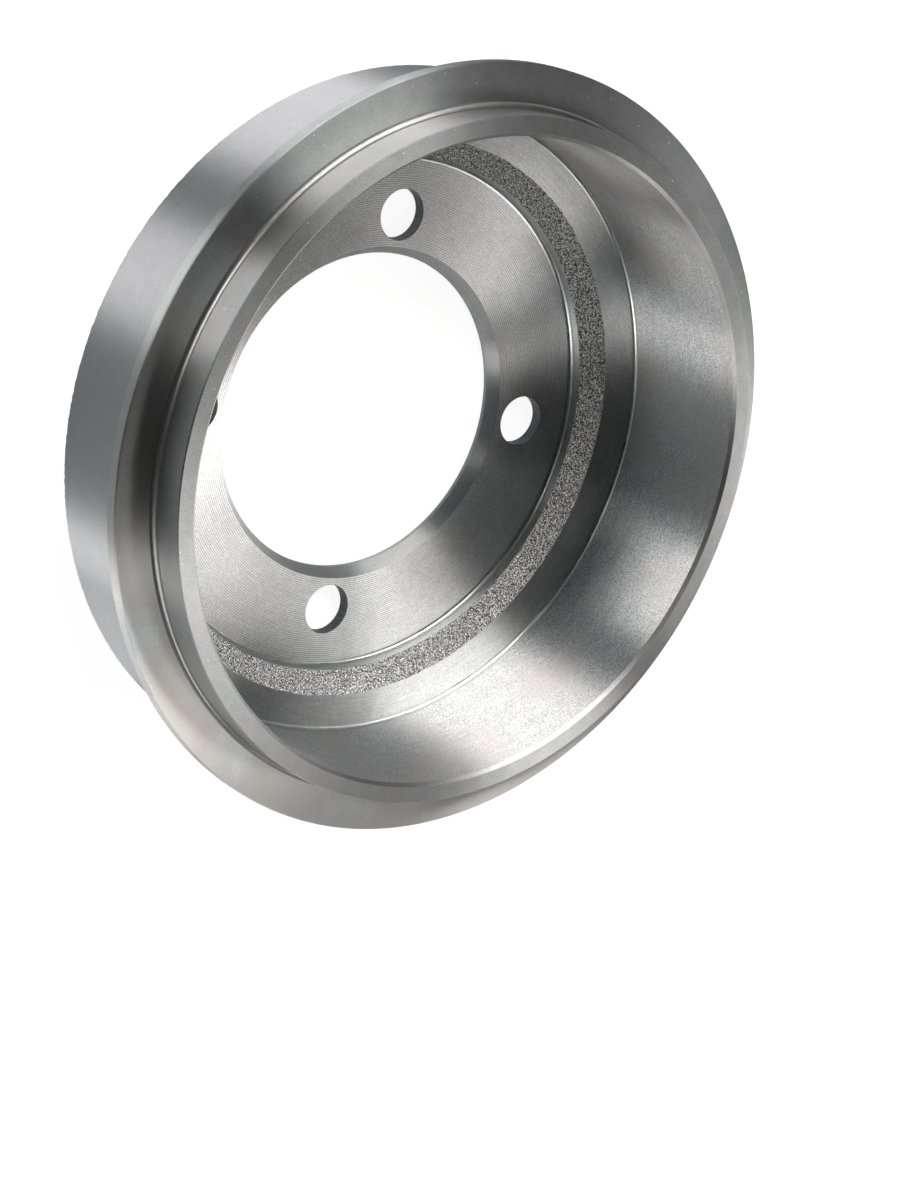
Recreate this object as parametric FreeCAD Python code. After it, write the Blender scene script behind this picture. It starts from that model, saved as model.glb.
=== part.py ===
import FreeCAD, Part
import math
import os

# Brake drum for a light vehicle: one grey iron casting, turned on most faces.
# The drum is centred on Z. The flat face that the wheel is clamped against lies
# on Z = 0 and the mouth opens upwards. All sizes are in millimetres.

# web: the flat end that carries the bore and the stud holes
web_thickness = 4.2
wheel_face_radius = 75.2
hub_seat_radius = 65.9
hub_seat_depth = 3.3
hub_seat_corner = 0.9

# centre bore: a short land at the wheel face, widening towards the hub
bore_radius = 40.5
bore_land = 1.2
bore_flare = 2.0

# stud holes in the web
stud_count = 4
stud_circle = 101.6
stud_hole_radius = 6.4
stud_hole_chamfer = 1.0

# inner edge and height of the turned floor, where the rough cast band begins
cast_band_radius = 71.4
cast_band_height = 11.4

# friction surface that the brake shoes press on
friction_radius = 80.0
friction_floor = 13.4
friction_corner = 0.8

# outer wall, with the rough cast cone at its foot
wall_thickness = 8.2
shoulder_height = 8.0

# raised bead on the wall and the cove that runs it into the flange
bead_step = 1.3
bead_slope = 0.8
bead_width = 5.0
cove_radius = 2.7

# flange
flange_radius = 95.6
flange_thickness = 3.8
flange_height = 42.2
flange_back_chamfer = 0.65
flange_front_chamfer = 0.3

# lip that stands above the flange
lip_thickness = 5.0
lip_height = 9.8
lip_root_corner = 0.95
lip_edge_chamfer = 0.25
mouth_chamfer = 0.85

# radii and heights that follow from the sizes above
drum_height = flange_height + lip_height
flange_back = flange_height - flange_thickness
wall_radius = friction_radius + wall_thickness
bead_radius = wall_radius + bead_step
bead_foot = flange_back - bead_width
lip_radius = friction_radius + lip_thickness
hub_seat_edge = web_thickness + hub_seat_depth

axis = FreeCAD.Vector(0, 0, 1)
centre = FreeCAD.Vector(0, 0, 0)


def sharp(radius, height):
    """A corner of the section that stays sharp."""
    return FreeCAD.Vector(radius, 0, height), []


def chamfered(radius, height, size):
    """A corner of the section eased by a flat, the same size along both sides."""
    return FreeCAD.Vector(radius, 0, height), [size]


def rounded(radius, height, fillet):
    """A corner of the section rounded by an arc."""
    return FreeCAD.Vector(radius, 0, height), [fillet, "arc"]


def corner_edge(before, corner, after, cut):
    """The line or arc that replaces one corner, between its two neighbours."""
    back = (before - corner).normalize()
    ahead = (after - corner).normalize()
    if len(cut) == 1:
        return Part.LineSegment(corner + back * cut[0], corner + ahead * cut[0])
    half_angle = back.getAngle(ahead) / 2
    reach = cut[0] / math.tan(half_angle)
    crown = cut[0] / math.sin(half_angle) - cut[0]
    middle = corner + (back + ahead).normalize() * crown
    return Part.Arc(corner + back * reach, middle, corner + ahead * reach)


def section_face(corners):
    """The closed section: straight runs, with each corner cut as it asks."""
    edges = []
    first = None
    last = None
    for index, (corner, cut) in enumerate(corners):
        start = end = corner
        if cut:
            before = corners[index - 1][0]
            after = corners[(index + 1) % len(corners)][0]
            piece = corner_edge(before, corner, after, cut)
            start, end = piece.StartPoint, piece.EndPoint
        if last:
            edges.append(Part.LineSegment(last, start).toShape())
        if cut:
            edges.append(piece.toShape())
        first = first or start
        last = end
    edges.append(Part.LineSegment(last, first).toShape())
    return Part.Face(Part.Wire(edges))


def turned_body():
    """The drum's section, turned once round the axis."""
    corners = [
        sharp(bore_radius, 0),
        sharp(wheel_face_radius, 0),
        sharp(wall_radius, shoulder_height),
        sharp(wall_radius, bead_foot - bead_slope),
        sharp(bead_radius, bead_foot),
        rounded(bead_radius, flange_back, cove_radius),
        chamfered(flange_radius, flange_back, flange_back_chamfer),
        chamfered(flange_radius, flange_height, flange_front_chamfer),
        chamfered(lip_radius, flange_height, lip_root_corner),
        chamfered(lip_radius, drum_height, lip_edge_chamfer),
        chamfered(friction_radius, drum_height, mouth_chamfer),
        chamfered(friction_radius, friction_floor, friction_corner),
        sharp(cast_band_radius, cast_band_height),
        sharp(hub_seat_radius, hub_seat_edge),
        chamfered(hub_seat_radius, web_thickness, hub_seat_corner),
        sharp(bore_radius + bore_flare, web_thickness),
        sharp(bore_radius, bore_land),
    ]
    return section_face(corners).revolve(centre, axis, 360)


def stud_hole():
    """One stud hole, with its chamfer at the wheel face, as a solid to cut away."""
    hole = Part.makeCylinder(stud_hole_radius, web_thickness)
    chamfer = Part.makeCone(stud_hole_radius + stud_hole_chamfer, stud_hole_radius, stud_hole_chamfer)
    return hole.fuse(chamfer)


def brake_drum():
    """The turned body with its stud holes, the first of them towards +X."""
    body = turned_body()
    for number in range(stud_count):
        hole = stud_hole()
        hole.translate(FreeCAD.Vector(stud_circle / 2, 0, 0))
        hole.rotate(centre, axis, number * 360 / stud_count)
        body = body.cut(hole)
    return body


os.makedirs("parts", exist_ok=True)
brake_drum().exportStep("parts/brake_drum.step")
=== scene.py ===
import math

import bmesh
import bpy
from mathutils import Euler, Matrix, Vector, noise
from mathutils.geometry import delaunay_2d_cdt


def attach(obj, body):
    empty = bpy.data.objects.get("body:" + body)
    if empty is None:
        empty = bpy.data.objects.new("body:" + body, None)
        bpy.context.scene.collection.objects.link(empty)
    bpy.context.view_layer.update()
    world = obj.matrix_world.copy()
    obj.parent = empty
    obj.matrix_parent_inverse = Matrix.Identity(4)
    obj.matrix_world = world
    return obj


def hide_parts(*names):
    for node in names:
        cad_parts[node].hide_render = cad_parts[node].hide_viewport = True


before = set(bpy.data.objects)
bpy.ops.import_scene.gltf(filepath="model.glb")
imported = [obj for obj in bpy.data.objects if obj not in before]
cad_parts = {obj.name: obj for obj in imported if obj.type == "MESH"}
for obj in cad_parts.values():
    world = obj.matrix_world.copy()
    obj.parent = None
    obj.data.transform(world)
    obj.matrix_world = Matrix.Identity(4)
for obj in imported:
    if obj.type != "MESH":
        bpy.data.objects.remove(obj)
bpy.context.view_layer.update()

MM = 0.001

# Sizes in millimetres, as in the CAD source. The flange is 0.04 mm smaller in
# radius, so that its true circle stays inside the facets of the CAD model.
BORE_RADIUS = 40.5
BORE_LAND = 1.2
BORE_MOUTH_RADIUS = 42.5
WEB_THICKNESS = 4.2
WHEEL_FACE_RADIUS = 75.2
HUB_SEAT_RADIUS = 65.9
HUB_SEAT_EDGE = 7.5
CAST_BAND_RADIUS = 71.4
CAST_BAND_HEIGHT = 11.4
FRICTION_RADIUS = 80.0
FRICTION_FLOOR = 13.4
WALL_RADIUS = 88.2
SHOULDER_HEIGHT = 8.0
BEAD_FOOT = 33.4
BEAD_SLOPE = 0.8
BEAD_RADIUS = 89.5
FLANGE_BACK = 38.4
FLANGE_FACE = 42.2
FLANGE_RADIUS = 95.56
LIP_RADIUS = 85.0
DRUM_HEIGHT = 52.0
STUD_CIRCLE_RADIUS = 50.8
STUD_HOLE_RADIUS = 6.4
STUD_HOLE_CHAMFER = 1.0
STUD_COUNT = 4

# True tool radii and small edge breaks, in millimetres.
COVE = 2.7
LIP_ROOT = 1.4
FRICTION_CORNER = 1.2
HUB_SEAT_CORNER = 1.3
BEAD_TOE = 0.5
BEAD_CREST = 0.4
MOUTH_CHAMFER = 0.85
FLANGE_BACK_CHAMFER = 0.65
FLANGE_FRONT_CHAMFER = 0.3
LIP_EDGE_CHAMFER = 0.25
EDGE_BREAK = 0.12

# The flange's face is turned very slightly hollow, in millimetres at its middle.
FLANGE_HOLLOW = 0.28
HOLLOW_STEPS = 6

# Mesh density: points round a turned circle, a rough cast one and a stud hole, and
# steps along a rounded corner.
TURNED_POINTS = 288
CAST_POINTS = 864
HOLE_POINTS = 72
ARC_STEPS = 7

# Support rows lie this far from the ends of a long run, and further from a cast one.
# Corners that turn less than the gentle turn have none. Cast rows lie close together.
SUPPORT = 0.2
CAST_SUPPORT = 0.9
GENTLE_TURN = math.radians(5)
CAST_ROW = 0.58

# Points of a flat face that lie closer than this, in millimetres, are the same.
SAME_POINT = 1e-6

# Edges that turn more than this stay sharp.
SHARP_ANGLE = math.radians(22)

# Rough cast skin: how far it rises and falls and how ragged its borders are, in
# millimetres. It is sunk by a share of its relief, to stay inside the CAD model.
CAST_RELIEF = 0.11
CAST_LUMP = 1.5
CAST_SINK = 0.35
BORDER_RELIEF = 0.22
BORDER_LUMP = 1.1

# Finer lumps on the larger ones: how many times finer, where they start and their share.
FINE_LUMPS = 2.1
FINE_SHIFT = Vector((7, 3, 5))
FINE_SHARE = 0.5

# Finishes of the drum's faces, in the order of the mesh's material slots.
FINISHES = [
    "wheel_face", "cast_cone", "outer_wall", "flange", "lip_top", "friction", "floor", "cast_band",
    "web_face", "bore", "hole", "corner", "lip_root", "lip_wall", "edge",
]
WHEEL_FACE, CAST_CONE, OUTER_WALL, FLANGE, LIP_TOP, FRICTION, FLOOR, CAST_BAND = range(8)
WEB_FACE, BORE, HOLE, CORNER, LIP_ROOT_ARC, LIP_WALL, EDGE = range(8, 15)
CAST = (CAST_CONE, CAST_BAND)


# section


def arc_points(before, corner, after, radius):
    """Points of the arc that rounds a corner, both ends included."""
    back = (before - corner).normalized()
    ahead = (after - corner).normalized()
    half_angle = back.angle(ahead) / 2
    reach = radius / math.tan(half_angle)
    middle = corner + (back + ahead).normalized() * radius / math.sin(half_angle)
    start = corner + back * reach - middle
    end = corner + ahead * reach - middle
    first = math.atan2(start.y, start.x)
    turn = math.remainder(math.atan2(end.y, end.x) - first, 2 * math.pi)
    angles = [first + turn * step / ARC_STEPS for step in range(ARC_STEPS + 1)]
    return [middle + radius * Vector((math.cos(angle), math.sin(angle))) for angle in angles]


def chamfer_points(before, corner, after, size):
    """The two ends of the flat that cuts a corner."""
    return [corner + (before - corner).normalized() * size, corner + (after - corner).normalized() * size]


def hollowed(start, end, depth, finish):
    """Corners along a shallow hollow, a parabola, between two points of the section."""
    corners = []
    for step in range(1, HOLLOW_STEPS):
        share = step / HOLLOW_STEPS
        sunk = Vector((0, depth * 4 * share * (1 - share)))
        corners.append((start.lerp(end, share) - sunk, finish))
    return corners


def corner_rows(corners):
    """Rows (place, finish of the run that starts there) along a line of corners.

    A corner is (place, finish of the run after it) and, where it is cut, also
    (how, size, finish of the cut).
    """
    rows = []
    for index, (place, finish, *cut) in enumerate(corners):
        if not cut:
            rows.append((place, finish))
            continue
        how, size, cut_finish = cut
        points = how(corners[index - 1][0], place, corners[index + 1][0], size)
        rows += [(point, cut_finish) for point in points[:-1]]
        rows.append((points[-1], finish))
    return rows


def turns(rows, index):
    """True at an end of the section and where it turns a clear corner."""
    if index in (0, len(rows) - 1):
        return True
    before, place, after = (rows[index + step][0] for step in (-1, 0, 1))
    return (place - before).angle(after - place) > GENTLE_TURN


def filled_rows(rows):
    """The rows, with support rows near the ends of long runs and close rows on the cast runs."""
    filled = []
    before = rows[0][1]
    for index in range(len(rows) - 1):
        place, finish = rows[index]
        ahead, finish_ahead = rows[index + 1]
        filled.append((place, finish))
        run = ahead - place
        if finish in CAST:
            steps = round(run.length / CAST_ROW)
            filled += [(place + run * step / steps, finish) for step in range(1, steps)]
        else:
            near = CAST_SUPPORT if before in CAST else SUPPORT
            far = CAST_SUPPORT if finish_ahead in CAST else SUPPORT
            long = run.length > 2 * (near + far)
            if long and turns(rows, index):
                filled.append((place + run.normalized() * near, finish))
            if long and turns(rows, index + 1):
                filled.append((ahead - run.normalized() * far, finish))
        before = finish
    filled.append(rows[-1])
    return filled


def outer_section():
    """From the wheel face outwards, over the flange and lip, and in to the web face."""
    flange_edge = Vector((FLANGE_RADIUS - FLANGE_FRONT_CHAMFER, FLANGE_FACE))
    flange_root = Vector((LIP_RADIUS + LIP_ROOT, FLANGE_FACE))
    corners = [
        (Vector((WHEEL_FACE_RADIUS, 0)), CAST_CONE),
        (Vector((WALL_RADIUS, SHOULDER_HEIGHT)), OUTER_WALL),
        (Vector((WALL_RADIUS, BEAD_FOOT - BEAD_SLOPE)), OUTER_WALL, arc_points, BEAD_TOE, EDGE),
        (Vector((BEAD_RADIUS, BEAD_FOOT)), FLANGE, arc_points, BEAD_CREST, EDGE),
        (Vector((BEAD_RADIUS, FLANGE_BACK)), FLANGE, arc_points, COVE, CORNER),
        (Vector((FLANGE_RADIUS, FLANGE_BACK)), FLANGE, chamfer_points, FLANGE_BACK_CHAMFER, FLANGE),
        (Vector((FLANGE_RADIUS, FLANGE_FACE)), FLANGE, chamfer_points, FLANGE_FRONT_CHAMFER, FLANGE),
        *hollowed(flange_edge, flange_root, FLANGE_HOLLOW, FLANGE),
        (Vector((LIP_RADIUS, FLANGE_FACE)), LIP_WALL, arc_points, LIP_ROOT, LIP_ROOT_ARC),
        (Vector((LIP_RADIUS, DRUM_HEIGHT)), LIP_TOP, chamfer_points, LIP_EDGE_CHAMFER, LIP_TOP),
        (Vector((FRICTION_RADIUS, DRUM_HEIGHT)), FRICTION, chamfer_points, MOUTH_CHAMFER, EDGE),
        (Vector((FRICTION_RADIUS, FRICTION_FLOOR)), FLOOR, arc_points, FRICTION_CORNER, CORNER),
        (Vector((CAST_BAND_RADIUS, CAST_BAND_HEIGHT)), CAST_BAND),
        (Vector((HUB_SEAT_RADIUS, HUB_SEAT_EDGE)), FLOOR),
        (Vector((HUB_SEAT_RADIUS, WEB_THICKNESS)), WEB_FACE, arc_points, HUB_SEAT_CORNER, CORNER),
        (Vector((HUB_SEAT_RADIUS - HUB_SEAT_CORNER - SUPPORT, WEB_THICKNESS)), WEB_FACE),
    ]
    return filled_rows(corner_rows(corners))


def bore_section():
    """The bore wall, from the web face down to the wheel face."""
    corners = [
        (Vector((BORE_MOUTH_RADIUS + EDGE_BREAK, WEB_THICKNESS)), BORE),
        (Vector((BORE_MOUTH_RADIUS - EDGE_BREAK, WEB_THICKNESS - 2 * EDGE_BREAK)), BORE),
        (Vector((BORE_RADIUS, BORE_LAND)), BORE),
        (Vector((BORE_RADIUS, EDGE_BREAK)), BORE),
        (Vector((BORE_RADIUS + EDGE_BREAK, 0)), WHEEL_FACE),
    ]
    return corner_rows(corners)


# mesh


class DrumMesh:
    """Points in millimetres and faces with their finish, gathered ring by ring."""

    def __init__(self):
        self.points = []
        self.faces = []
        self.finishes = []

    def ring(self, places):
        """Adds a closed ring of points and returns their numbers."""
        first = len(self.points)
        self.points += places
        return list(range(first, len(self.points)))

    def face(self, corners, finish):
        """Adds a face between points given by their numbers."""
        self.faces.append(corners)
        self.finishes.append(finish)

    def strip(self, one, other, finish):
        """Faces between two rings. One ring may have a whole number of times more points."""
        if len(one) > len(other):
            one, other = other, one
        ratio = len(other) // len(one)
        for index in range(len(one)):
            here, there = one[index], one[(index + 1) % len(one)]
            fine = [other[(index * ratio + step) % len(other)] for step in range(ratio + 1)]
            if ratio == 1:
                self.face([here, there, fine[1], fine[0]], finish)
                continue
            half = ratio // 2 + 1
            for step in range(half):
                self.face([here, fine[step + 1], fine[step]], finish)
            self.face([here, there, fine[half]], finish)
            for step in range(half, ratio):
                self.face([there, fine[step + 1], fine[step]], finish)

    def flat(self, outer, inners, finish):
        """A flat face between an outer ring and the rings of its holes."""
        rings = [outer] + inners
        numbers = [number for ring in rings for number in ring]
        flat_points = [Vector(self.points[number][:2]) for number in numbers]
        edges = []
        first = 0
        for ring in rings:
            edges += [(first + step, first + (step + 1) % len(ring)) for step in range(len(ring))]
            first += len(ring)
        _, _, triangles, origins, _, _ = delaunay_2d_cdt(flat_points, edges, [], 1, SAME_POINT)
        ring_of = [which for which, ring in enumerate(rings) for _ in ring]
        loops = [[Vector(self.points[number][:2]) for number in ring] for ring in rings]
        for triangle in triangles:
            corners = [origins[corner][0] for corner in triangle]
            middle = sum((flat_points[corner] for corner in corners), Vector((0, 0))) / 3
            same_hole = len({ring_of[corner] for corner in corners}) == 1
            if same_hole and any(inside(middle, loop) for loop in loops[1:]):
                continue
            if inside(middle, loops[0]):
                self.face([numbers[corner] for corner in corners], finish)


def inside(point, loop):
    """True if the point lies inside the loop."""
    hits = False
    for index, here in enumerate(loop):
        there = loop[index - 1]
        if (here.y > point.y) != (there.y > point.y):
            cross = here.x + (point.y - here.y) / (there.y - here.y) * (there.x - here.x)
            hits ^= point.x < cross
    return hits


def circle(radius, height, count, centre=(0.0, 0.0)):
    """Points of a circle about a centre on the web, all at one height."""
    points = []
    for index in range(count):
        angle = 2 * math.pi * index / count
        x = centre[0] + radius * math.cos(angle)
        y = centre[1] + radius * math.sin(angle)
        points.append(Vector((x, y, height)))
    return points


def rough(place, lump):
    """A rise or fall from about -1 to 1 that changes over a distance of about one lump."""
    coarse = noise.noise(place / lump)
    fine = noise.noise(place / lump * FINE_LUMPS + FINE_SHIFT)
    return coarse + FINE_SHARE * fine


def turned_side(rows, index, before):
    """Direction from a border of the cast skin along its turned side, where the ragged edge runs."""
    place = rows[index][0]
    if index == 0:
        return Vector((1, 0))
    beside = rows[index + 1][0] if before in CAST else rows[index - 1][0]
    return (beside - place).normalized()


def outer_rings(mesh):
    """All the rings of the outer section, with the cast runs roughened. Returns (ring, finish) pairs."""
    rows = outer_section()
    rings = []
    for index, (place, finish) in enumerate(rows):
        before = rows[index - 1][1] if index else finish
        border = index == 0 or (before in CAST) != (finish in CAST)
        cast = finish in CAST or before in CAST
        count = CAST_POINTS if cast else TURNED_POINTS
        points = circle(place.x, place.y, count)
        if border:
            along = turned_side(rows, index, before)
            points = [shifted(p, along, BORDER_RELIEF * rough(p, BORDER_LUMP)) for p in points]
        elif cast:
            ahead = (rows[index + 1][0] - rows[index - 1][0]).normalized()
            normal = Vector((ahead.y, -ahead.x))
            points = [shifted(p, normal, CAST_RELIEF * (rough(p, CAST_LUMP) - CAST_SINK)) for p in points]
        rings.append((mesh.ring(points), finish))
    return rings


def shifted(point, direction, amount):
    """A point moved in its own section plane: direction is (outwards, upwards)."""
    radius = math.hypot(point.x, point.y)
    scale = (radius + direction.x * amount) / radius
    return Vector((point.x * scale, point.y * scale, point.z + direction.y * amount))


def stud_hole_rings(mesh, centre):
    """The wall of one stud hole. Returns its rings at the web face and at the wheel face."""
    steps = [
        (STUD_HOLE_RADIUS + EDGE_BREAK, WEB_THICKNESS),
        (STUD_HOLE_RADIUS, WEB_THICKNESS - EDGE_BREAK),
        (STUD_HOLE_RADIUS, STUD_HOLE_CHAMFER),
        (STUD_HOLE_RADIUS + STUD_HOLE_CHAMFER, 0.0),
    ]
    rings = [mesh.ring(circle(radius, height, HOLE_POINTS, centre)) for radius, height in steps]
    for one, other in zip(rings, rings[1:]):
        mesh.strip(one, other, HOLE)
    return rings[0], rings[-1]


def drum_mesh():
    """The whole drum as one closed mesh."""
    mesh = DrumMesh()
    outer = outer_rings(mesh)
    for (one, finish), (other, _) in zip(outer, outer[1:]):
        mesh.strip(one, other, finish)
    bore = []
    for place, finish in bore_section():
        bore.append((mesh.ring(circle(place.x, place.y, TURNED_POINTS)), finish))
    for (one, finish), (other, _) in zip(bore, bore[1:]):
        mesh.strip(one, other, finish)
    holes = []
    for number in range(STUD_COUNT):
        turn = 2 * math.pi * number / STUD_COUNT
        centre = (STUD_CIRCLE_RADIUS * math.cos(turn), STUD_CIRCLE_RADIUS * math.sin(turn))
        holes.append(stud_hole_rings(mesh, centre))
    mesh.flat(outer[-1][0], [bore[0][0]] + [top for top, _ in holes], WEB_FACE)
    mesh.flat(outer[0][0], [bore[-1][0]] + [foot for _, foot in holes], WHEEL_FACE)
    return mesh


def drum_object(mesh, materials):
    """The mesh as an object in metres, with sharp edges where the tool left them."""
    data = bpy.data.meshes.new("turned_drum")
    data.from_pydata([point * MM for point in mesh.points], [], mesh.faces)
    for material in materials:
        data.materials.append(material)
    data.polygons.foreach_set("material_index", mesh.finishes)
    built = bmesh.new()
    built.from_mesh(data)
    bmesh.ops.recalc_face_normals(built, faces=built.faces)
    for face in built.faces:
        face.smooth = True
    for edge in built.edges:
        cast = [face.material_index in CAST for face in edge.link_faces]
        if all(cast):
            continue
        edge.smooth = not any(cast) and edge.calc_face_angle(0) < SHARP_ANGLE
    built.to_mesh(data)
    built.free()
    drum = bpy.data.objects.new("turned_drum", data)
    bpy.context.scene.collection.objects.link(drum)
    return drum


# materials


class Tree:
    """A node tree that is filled by short calls."""

    def __init__(self, tree):
        self.tree = tree
        self.tree.nodes.clear()

    def add(self, kind, settings=None, **inputs):
        """A node with its settings and its inputs, which are values or other nodes' sockets."""
        made = self.tree.nodes.new(kind)
        for key, value in (settings or {}).items():
            setattr(made, key, value)
        for key, value in inputs.items():
            socket = made.inputs[int(key[1:])] if key[0] == "i" and key[1:].isdigit() else made.inputs[key]
            if isinstance(value, bpy.types.NodeSocket):
                self.tree.links.new(value, socket)
            else:
                socket.default_value = value
        return made

    def math(self, operation, *values):
        """The result of a sum or function of numbers."""
        inputs = {f"i{index}": value for index, value in enumerate(values)}
        return self.add("ShaderNodeMath", {"operation": operation}, **inputs).outputs[0]

    def vector(self, operation, *values):
        """The result of a sum or function of vectors."""
        inputs = {f"i{index}": value for index, value in enumerate(values)}
        made = self.add("ShaderNodeVectorMath", {"operation": operation}, **inputs)
        return made.outputs["Value" if operation in ("LENGTH", "DOT_PRODUCT") else "Vector"]

    def ramp(self, value, low, high, to_low=0.0, to_high=1.0):
        """Carries value from the range low-high to another range, smoothly and clamped."""
        made = self.add(
            "ShaderNodeMapRange", {"interpolation_type": "SMOOTHSTEP"},
            i0=value, i1=low, i2=high, i3=to_low, i4=to_high,
        )
        return made.outputs[0]

    def noise(self, place, size, detail=2.0, roughness=0.5):
        """Noise from 0 to 1 with lumps of about the given size, in the units of place."""
        settings = {"Scale": 1 / size, "Detail": detail, "Roughness": roughness}
        return self.add("ShaderNodeTexNoise", Vector=place, **settings).outputs[0]

    def mix(self, factor, one, other):
        """One colour carried over to another by the factor."""
        made = self.add("ShaderNodeMix", {"data_type": "RGBA"})
        for index, value in ((0, factor), (6, one), (7, other)):
            if isinstance(value, bpy.types.NodeSocket):
                self.tree.links.new(value, made.inputs[index])
            else:
                made.inputs[index].default_value = value
        return made.outputs[2]


def grey(level, red=-0.06, blue=0.0):
    """The iron's own colour at a given brightness, with a small share of red and blue."""
    return [level * (1 + red), level, level * (1 + blue)]


# Cast skin: grain size and depths in millimetres, and the colours of its pits, peaks and
# flecks. The flecks are glossier, and their near-white colour is partly a painted glint.
CAST_GRAIN = 0.42
CAST_GRAIN_DEPTH = 0.45
CAST_LUMP_SIZE = 3 * CAST_GRAIN
CAST_LUMP_DEPTH = 0.15
CAST_FLECK_SIZE = 0.8 * CAST_GRAIN
CAST_FLECK_SHIFT = (31, 17, 5)
CAST_FLECK_SHARE = 0.95
CAST_PIT = [0.09, 0.095, 0.097]
CAST_PEAK = [0.76, 0.8, 0.8]
CAST_FLECK_PAINTED_GLINT = [0.97, 1.0, 1.0]
CAST_ROUGHNESS = 0.4
CAST_FLECK_ROUGHNESS = 0.24
CAST_RAGGED = 0.65
CAST_GRAIN_RANGE = (0.45, 0.62)
CAST_FLECK_RANGE = (0.56, 0.65)
CAST_GLOSS_RANGE = (0.5, 0.7)

# A plain turned face, with its sizes and depths in millimetres. Lines are tool marks
# round the axis, and arcs says how often they break up over a turn. Speckle, mottle and
# clouds are fine, middling and large spots. Lines, speckle and mottle make the iron
# lighter and darker by a share, and the clouds carry the tint. The painted light is not a
# real coat. It is painted light and shade that stand in for a real room's light: lighter by
# its share towards its heading, in degrees, and darker by as much on the other side.
PLAIN = {
    "roughness_swing": 0.01,
    "anisotropy": 1.0,
    "line_width": 0.3,
    "line_arcs": 9,
    "line_depth": 0.002,
    "line_shade": 0.05,
    "speckle_size": 0.34,
    "speckle": 0.1,
    "speckle_depth": 0.0015,
    "mottle_size": 4.0,
    "mottle": 0.03,
    "painted_light": 0.0,
    "painted_light_heading": 125,
    "pit_spacing": 5.0,
    "pit_size": 0.045,
    "pit_share": 0.8,
    "pit": [0.05, 0.048, 0.045],
    "cloud_size": 14.0,
    "tint": [0.46, 0.42, 0.38],
    "tint_from": 0.5,
    "tint_share": 0.1,
}

# The outside faces have small bright nicks in place of pits.
NICKED = dict(
    PLAIN, pit=[0.9, 0.9, 0.88], pit_spacing=3.2, pit_size=0.065,
    roughness_swing=0.004, line_depth=0.0001, line_shade=0.02,
)

# Rounded corners and small edges, where the tool marks are faint.
SMALL_ARC = dict(PLAIN, anisotropy=0.5, line_depth=0.0005)

# Each range is the part of a noise over which its effect goes from none to all. A full
# swing is that of a wave or of a heading's cosine. Where there is painted light, the tint's
# clouds lie on its lit side only, as painted warm light. A tint is complete one tint edge
# above the value where it starts, and a pit within this share of its radius. Ragged is the
# roughness of a noise.
FINE_RANGE = (0.3, 0.7)
MOTTLE_RANGE = (0.35, 0.65)
GLOSS_RANGE = (0.25, 0.75)
FULL_SWING = (-1.0, 1.0)
TINT_SIDE = (-0.3, 0.8)
TINT_EDGE = 0.2
PIT_EDGE = 0.5
RAGGED = 0.6

# The highlights are turned across the tool lines, by this share of a turn.
QUARTER_TURN = 0.25

# Cream is painted warm light: it lies only on the lit side of faces with painted light.
PAINTED_WARM_CREAM = [0.51, 0.485, 0.45]
BROWN = [0.525, 0.52, 0.5]

LOOKS = {
    "wheel_face": dict(PLAIN, colour=grey(0.5), roughness=0.45, line_width=0.35),
    "outer_wall": dict(
        PLAIN, colour=grey(0.39, -0.045, 0.035), roughness=0.46,
        line_depth=0.0004, line_shade=0.015, speckle=0.06, mottle=0.02,
        painted_light=0.3, painted_light_heading=160, tint=[0.42, 0.41, 0.39], tint_share=0.12,
    ),
    "flange": dict(
        NICKED, colour=grey(0.45, -0.085), roughness=0.47,
        speckle=0.07, mottle=0.04, painted_light=0.5, painted_light_heading=160,
        cloud_size=26.0, tint=PAINTED_WARM_CREAM, tint_from=0.25, tint_share=0.55,
    ),
    "lip_wall": dict(
        NICKED, colour=grey(0.33), roughness=0.34,
        speckle=0.06, painted_light=0.25, painted_light_heading=20,
        tint=PAINTED_WARM_CREAM, tint_from=0.35, tint_share=0.3,
    ),
    "lip_top": dict(
        NICKED, colour=grey(0.37, -0.08), roughness=0.56,
        speckle=0.12, mottle=0.05, painted_light=0.25, painted_light_heading=185,
        tint=PAINTED_WARM_CREAM, tint_from=0.4, tint_share=0.35,
    ),
    "friction": dict(
        PLAIN, colour=grey(0.54, -0.044, 0.01), roughness=0.38,
        line_shade=0.1, speckle=0.34, mottle=0.04, pit_spacing=3.0, pit_size=0.07, pit_share=0.6,
        cloud_size=24.0, tint=BROWN, tint_from=0.4, tint_share=0.6,
    ),
    "floor": dict(
        PLAIN, colour=grey(0.57), roughness=0.42,
        speckle=0.2, speckle_size=0.28, line_shade=0.08,
    ),
    "web_face": dict(
        PLAIN, colour=grey(0.72, -0.05), roughness=0.46,
        speckle=0.12, speckle_depth=0.0004, pit_share=0.5,
        groove_pitch=0.54, groove_depth=0.006, groove_shade=0.24,
    ),
    "bore": dict(PLAIN, colour=grey(0.48), roughness=0.42),
    "hole": dict(
        # The hole walls are coloured dark: painted shade inside the stud holes.
        PLAIN, colour=grey(0.12), anisotropy=0.0, roughness=0.45, speckle=0.4, speckle_depth=0.02,
    ),
    "corner": dict(SMALL_ARC, colour=grey(0.52), roughness=0.28),
    "edge": dict(SMALL_ARC, colour=grey(0.36), roughness=0.36),
    # The lip's rounded root is coloured dark: painted shade in the crease between flange and lip.
    "lip_root": dict(SMALL_ARC, colour=grey(0.22), roughness=0.36),
}


def turned_place(tree):
    """Millimetres in space, millimetres along the section, and the heading as a flat direction."""
    place = tree.add("ShaderNodeTexCoord").outputs["Object"]
    place = tree.vector("MULTIPLY", place, (1 / MM, 1 / MM, 1 / MM))
    parts = tree.add("ShaderNodeSeparateXYZ", i0=place).outputs
    flat = tree.add("ShaderNodeCombineXYZ", i0=parts[0], i1=parts[1], i2=0.0).outputs[0]
    radius = tree.vector("LENGTH", flat)
    along = tree.math("ADD", radius, parts[2])
    return place, along, tree.vector("NORMALIZE", flat)


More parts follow.
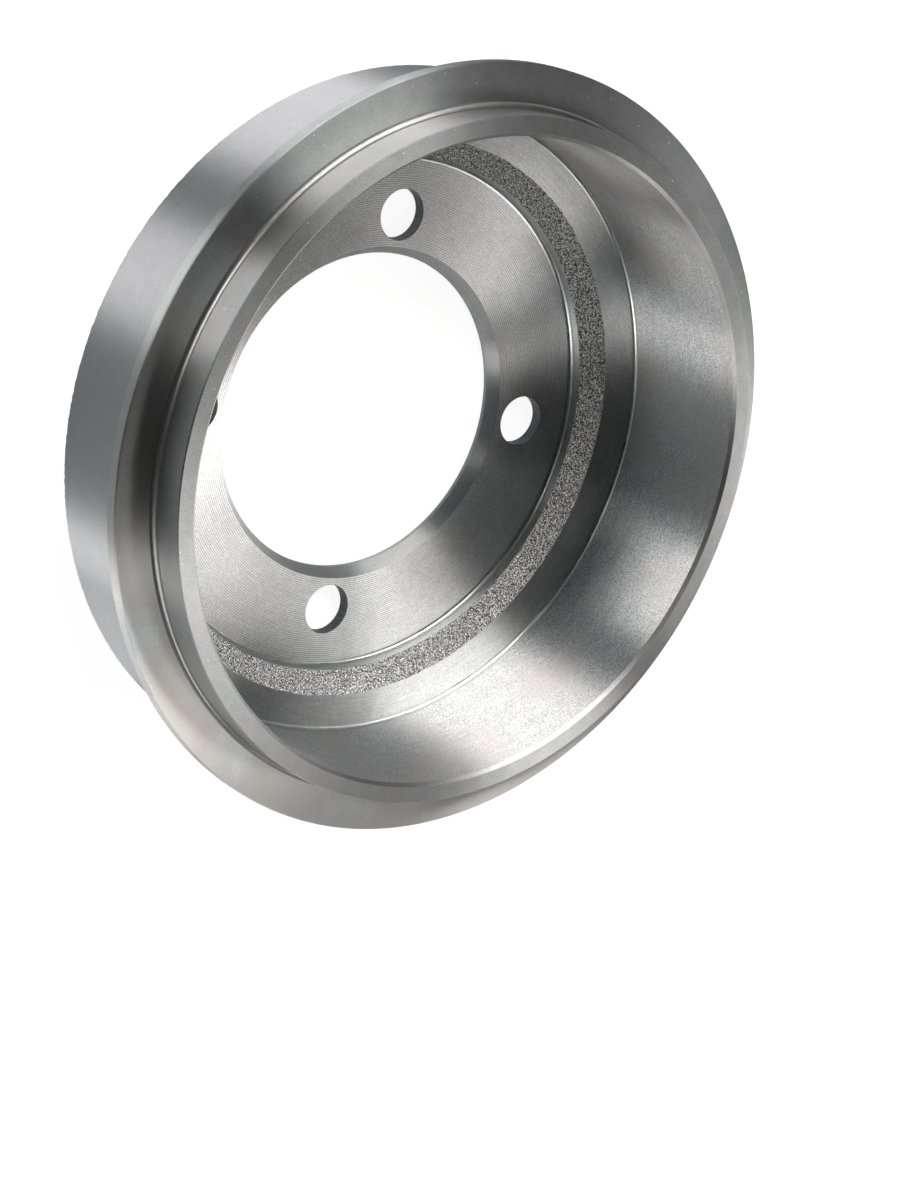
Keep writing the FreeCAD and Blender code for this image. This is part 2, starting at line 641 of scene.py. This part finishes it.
def ring_noise(tree, along, towards, width, arcs):
    """Noise drawn out round the axis: lines of the given width that break up over the turn."""
    towards = tree.add("ShaderNodeSeparateXYZ", i0=towards).outputs
    place = tree.add(
        "ShaderNodeCombineXYZ",
        i0=tree.math("DIVIDE", along, width),
        i1=tree.math("MULTIPLY", towards[0], arcs),
        i2=tree.math("MULTIPLY", towards[1], arcs),
    ).outputs[0]
    return tree.noise(place, 1.0, 2.0, RAGGED)


def spotted(tree, value, span, share):
    """A brightness about 1 that goes from a share less to a share more over the span."""
    return tree.ramp(value, *span, 1 - share, 1 + share)


def turned_shade(tree, look, lines, speckle, mottle, side, wave):
    """How light or dark each place of a turned face is, about 1, with painted light and shade by heading.
    """
    shade = spotted(tree, speckle, FINE_RANGE, look["speckle"])
    shade = tree.math("MULTIPLY", shade, spotted(tree, lines, FINE_RANGE, look["line_shade"]))
    shade = tree.math("MULTIPLY", shade, spotted(tree, mottle, MOTTLE_RANGE, look["mottle"]))
    # painted light and shade: lighter towards the heading, darker away from it
    shade = tree.math("MULTIPLY", shade, spotted(tree, side, FULL_SWING, look["painted_light"]))
    if wave is not None:
        shade = tree.math("MULTIPLY", shade, spotted(tree, wave, FULL_SWING, look["groove_shade"]))
    return shade


def turned_colour(tree, look, place, side, shade):
    """The iron's colour with its shade, painted light and shade included, its tint in clouds, which is
    painted warm light where there is painted light, and its pits or nicks.
    """
    scaled = tree.add("ShaderNodeVectorMath", {"operation": "SCALE"}, i0=look["colour"], Scale=shade)
    colour = scaled.outputs[0]
    cloud = tree.noise(place, look["cloud_size"], 2.0)
    tinted = tree.ramp(cloud, look["tint_from"], look["tint_from"] + TINT_EDGE, 0.0, look["tint_share"])
    # on faces with painted light the tint lies on the lit side only: painted warm light
    if look["painted_light"]:
        tinted = tree.math("MULTIPLY", tinted, tree.ramp(side, *TINT_SIDE))
    colour = tree.mix(tinted, colour, look["tint"] + [1])
    pits = tree.add("ShaderNodeTexVoronoi", Vector=place, Scale=1 / look["pit_spacing"], Randomness=1.0)
    size = look["pit_size"]
    pit = tree.ramp(pits.outputs["Distance"], size, size * PIT_EDGE, 0.0, look["pit_share"])
    return tree.mix(pit, colour, look["pit"] + [1])


def turned_height(tree, look, lines, speckle, wave):
    """The height of the tool marks, in millimetres."""
    height = tree.math("MULTIPLY", lines, look["line_depth"])
    if wave is not None:
        height = tree.math("ADD", height, tree.math("MULTIPLY", wave, look["groove_depth"]))
    return tree.math("ADD", height, tree.math("MULTIPLY", speckle, look["speckle_depth"]))


def metal(tree, colour, roughness, height):
    """A metal surface with its colour, roughness and fine relief, joined to the output."""
    bump = tree.add("ShaderNodeBump", Height=height, Distance=MM, Strength=1.0)
    shader = tree.add("ShaderNodeBsdfPrincipled", Metallic=1.0, Roughness=roughness)
    tree.tree.links.new(colour, shader.inputs["Base Color"])
    tree.tree.links.new(bump.outputs[0], shader.inputs["Normal"])
    output = tree.add("ShaderNodeOutputMaterial")
    tree.tree.links.new(shader.outputs[0], output.inputs[0])
    return shader


def new_material(name):
    """A new material and its empty node tree."""
    material = bpy.data.materials.new(name)
    material.use_nodes = True
    return material, Tree(material.node_tree)


def turned_iron(name, look):
    """Bare turned iron: tool lines round the axis, fine speckle, a few pits, a faint tint and, on some
    faces, painted light and shade by heading.
    """
    material, tree = new_material(name)
    place, along, towards = turned_place(tree)
    lines = ring_noise(tree, along, towards, look["line_width"], look["line_arcs"])
    speckle = tree.noise(place, look["speckle_size"], 1.0)
    mottle = tree.noise(place, look["mottle_size"], 3.0, RAGGED)
    # the heading of the painted light and shade
    heading = math.radians(look["painted_light_heading"])
    side = tree.vector("DOT_PRODUCT", towards, (math.cos(heading), math.sin(heading), 0))
    wave = None
    if "groove_pitch" in look:
        wave = tree.math("SINE", tree.math("MULTIPLY", along, 2 * math.pi / look["groove_pitch"]))

    shade = turned_shade(tree, look, lines, speckle, mottle, side, wave)
    colour = turned_colour(tree, look, place, side, shade)
    swing = look["roughness_swing"]
    roughness = tree.ramp(lines, *GLOSS_RANGE, look["roughness"] - swing, look["roughness"] + swing)
    shader = metal(tree, colour, roughness, turned_height(tree, look, lines, speckle, wave))

    # the highlights spread across the tool lines, which run round Z
    shader.inputs["Anisotropic"].default_value = look["anisotropy"]
    shader.inputs["Anisotropic Rotation"].default_value = QUARTER_TURN
    tangent = tree.add("ShaderNodeTangent", {"direction_type": "RADIAL", "axis": "Z"})
    tree.tree.links.new(tangent.outputs[0], shader.inputs["Tangent"])
    return material


def cast_iron(name):
    """Rough as-cast skin: dark, grainy, with small glossy flecks whose near-white colour is partly a
    painted glint.
    """
    material, tree = new_material(name)
    place, _, _ = turned_place(tree)
    grain = tree.noise(place, CAST_GRAIN, 2.0, CAST_RAGGED)
    lumps = tree.noise(place, CAST_LUMP_SIZE, 2.0)
    flecks = tree.noise(tree.vector("ADD", place, CAST_FLECK_SHIFT), CAST_FLECK_SIZE, 1.0)
    colour = tree.mix(tree.ramp(grain, *CAST_GRAIN_RANGE), CAST_PIT + [1], CAST_PEAK + [1])
    # near-white flecks: glossier skin, with their colour partly a painted glint
    colour = tree.mix(tree.ramp(flecks, *CAST_FLECK_RANGE, 0.0, CAST_FLECK_SHARE), colour, CAST_FLECK_PAINTED_GLINT + [1])
    roughness = tree.ramp(flecks, *CAST_GLOSS_RANGE, CAST_ROUGHNESS, CAST_FLECK_ROUGHNESS)
    height = tree.math("MULTIPLY", grain, CAST_GRAIN_DEPTH)
    height = tree.math("ADD", height, tree.math("MULTIPLY", lumps, CAST_LUMP_DEPTH))
    metal(tree, colour, roughness, height)
    return material


def drum_materials():
    """One material for each finish, in the order of the mesh's slots."""
    cast = cast_iron("cast_skin")
    return [cast if name.startswith("cast") else turned_iron(name, LOOKS[name]) for name in FINISHES]


# stage

WHITE = (1, 1, 1, 1)

# The floor, in metres, lies a hair below the drum. Its glow makes it white to the camera,
# and its shade is what the drum's shadow can take away. The metal sees a dimmer, cooler glow.
FLOOR_SIZE = 6.0
FLOOR_DROP = 0.00005
FLOOR_COLOUR = (0.82, 0.82, 0.82, 1)
FLOOR_SHADE = (0.25, 0.25, 0.25, 1)
FLOOR_GLOW = 0.9
FLOOR_GLOW_IN_METAL = 0.47
FLOOR_TONE_IN_METAL = (0.91, 1, 1.01, 1)


def pale_floor():
    """A pale floor that the camera sees as white, with the drum's soft shadow."""
    half = FLOOR_SIZE / 2
    data = bpy.data.meshes.new("floor")
    corners = [(-half, -half), (half, -half), (half, half), (-half, half)]
    data.from_pydata([(x, y, -FLOOR_DROP) for x, y in corners], [], [(0, 1, 2, 3)])
    floor = bpy.data.objects.new("floor", data)
    bpy.context.scene.collection.objects.link(floor)
    material, tree = new_material("pale_floor")
    path = tree.add("ShaderNodeLightPath").outputs
    direct = tree.math("MAXIMUM", path["Is Camera Ray"], path["Is Transmission Ray"])
    seen = tree.math("MAXIMUM", direct, path["Is Glossy Ray"])
    strength = tree.ramp(direct, 0.0, 1.0, FLOOR_GLOW_IN_METAL, FLOOR_GLOW)
    diffuse = tree.add("ShaderNodeBsdfDiffuse", Color=FLOOR_COLOUR)
    dim = tree.add("ShaderNodeBsdfDiffuse", Color=FLOOR_SHADE)
    tone = tree.mix(direct, FLOOR_TONE_IN_METAL, WHITE)
    glow = tree.add("ShaderNodeEmission", Strength=strength)
    tree.tree.links.new(tone, glow.inputs["Color"])
    both = tree.add("ShaderNodeAddShader", i0=dim.outputs[0], i1=glow.outputs[0])
    mixed = tree.add("ShaderNodeMixShader", i0=seen, i1=diffuse.outputs[0], i2=both.outputs[0])
    output = tree.add("ShaderNodeOutputMaterial")
    tree.tree.links.new(mixed.outputs[0], output.inputs[0])
    data.materials.append(material)


# Soft boxes of the studio: azimuth and half width, lowest and highest elevation, all
# in degrees, and strength. They are a little warm and the room is a little cool.
BOX_COLOUR = (1.08, 1.0, 0.984, 1)
ROOM_COLOUR = (0.96, 1.0, 1.01, 1)
SOFT_BOXES = [
    (6, 20, 13, 19, 33.0),
    (-8, 27, 39, 46, 18.0),
    (-62, 8, 44, 52, 3.0),
    (-12, 7, 1, 10, 5.4),
    (62, 14, 2, 10, 24.0),
    (138, 7, 0, 37, 5.2),
    (163, 14, 4, 14, 8.2),
    (197, 10, 9, 15, 6.4),
    (259, 4, 4, 39, 26.0),
    (224, 25, 48, 54, 6.2),
]
ROOM_LIGHT = 0.01

# The edges of the boxes are soft over this many degrees either way.
BOX_EDGE = 3


def box_light(tree, flat, height, box):
    """The light of one soft box towards a direction: flat is its heading, height its z."""
    azimuth, half_width, low, high, strength = box
    heading = (math.cos(math.radians(azimuth)), math.sin(math.radians(azimuth)), 0)
    beside = tree.vector("DOT_PRODUCT", flat, heading)
    outer = math.cos(math.radians(half_width + BOX_EDGE))
    inner = math.cos(math.radians(half_width - BOX_EDGE))
    across = tree.ramp(beside, outer, inner)
    foot, top = (math.sin(math.radians(angle)) for angle in (low, high))
    edge = math.sin(math.radians(BOX_EDGE))
    above = tree.ramp(height, foot - edge, foot + edge)
    below = tree.ramp(height, top + edge, top - edge, 0.0, strength)
    return tree.math("MULTIPLY", across, tree.math("MULTIPLY", above, below))


def studio_world():
    """The room: white to the camera, and soft boxes in a dim room to everything else."""
    world = bpy.data.worlds.new("studio")
    bpy.context.scene.world = world
    world.use_nodes = True
    tree = Tree(world.node_tree)
    direction = tree.add("ShaderNodeTexCoord").outputs["Generated"]
    parts = tree.add("ShaderNodeSeparateXYZ", i0=direction).outputs
    flat = tree.add("ShaderNodeCombineXYZ", i0=parts[0], i1=parts[1], i2=0.0).outputs[0]
    flat = tree.vector("NORMALIZE", flat)
    light = 0.0
    for box in SOFT_BOXES:
        light = tree.math("ADD", light, box_light(tree, flat, parts[2], box))
    boxes = tree.add("ShaderNodeBackground", Color=BOX_COLOUR, Strength=light)
    room = tree.add("ShaderNodeBackground", Color=ROOM_COLOUR, Strength=ROOM_LIGHT)
    both = tree.add("ShaderNodeAddShader", i0=boxes.outputs[0], i1=room.outputs[0])
    white = tree.add("ShaderNodeBackground", Color=WHITE, Strength=1.0)
    path = tree.add("ShaderNodeLightPath").outputs
    direct = tree.math("MAXIMUM", path["Is Camera Ray"], path["Is Transmission Ray"])
    mixed = tree.add("ShaderNodeMixShader", i0=direct, i1=both.outputs[0], i2=white.outputs[0])
    output = tree.add("ShaderNodeOutputWorld")
    tree.tree.links.new(mixed.outputs[0], output.inputs[0])


# camera

# The camera's place in metres, its turn in degrees, and its lens and sensor in millimetres.
CAMERA_PLACE = (0.16645, 0.51466, 0.65844)
CAMERA_TURN = (-22.670, -36.660, -76.236)
CAMERA_LENS = 102.34
SENSOR = 36.0


def photo_camera():
    """The camera that the photograph was taken with, as fitted to the drum's circles."""
    data = bpy.data.cameras.new("camera")
    data.sensor_fit = "AUTO"
    data.sensor_width = SENSOR
    data.lens = CAMERA_LENS
    data.clip_start = 0.01
    data.clip_end = 20.0
    camera = bpy.data.objects.new("camera", data)
    camera.location = CAMERA_PLACE
    camera.rotation_euler = Euler([math.radians(angle) for angle in CAMERA_TURN], "XYZ")
    bpy.context.scene.collection.objects.link(camera)
    bpy.context.scene.camera = camera


# scene

drum = drum_object(drum_mesh(), drum_materials())
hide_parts("brake_drum")
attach(drum, "root")
pale_floor()
studio_world()
photo_camera()
bpy.context.scene.view_settings.view_transform = "Standard"
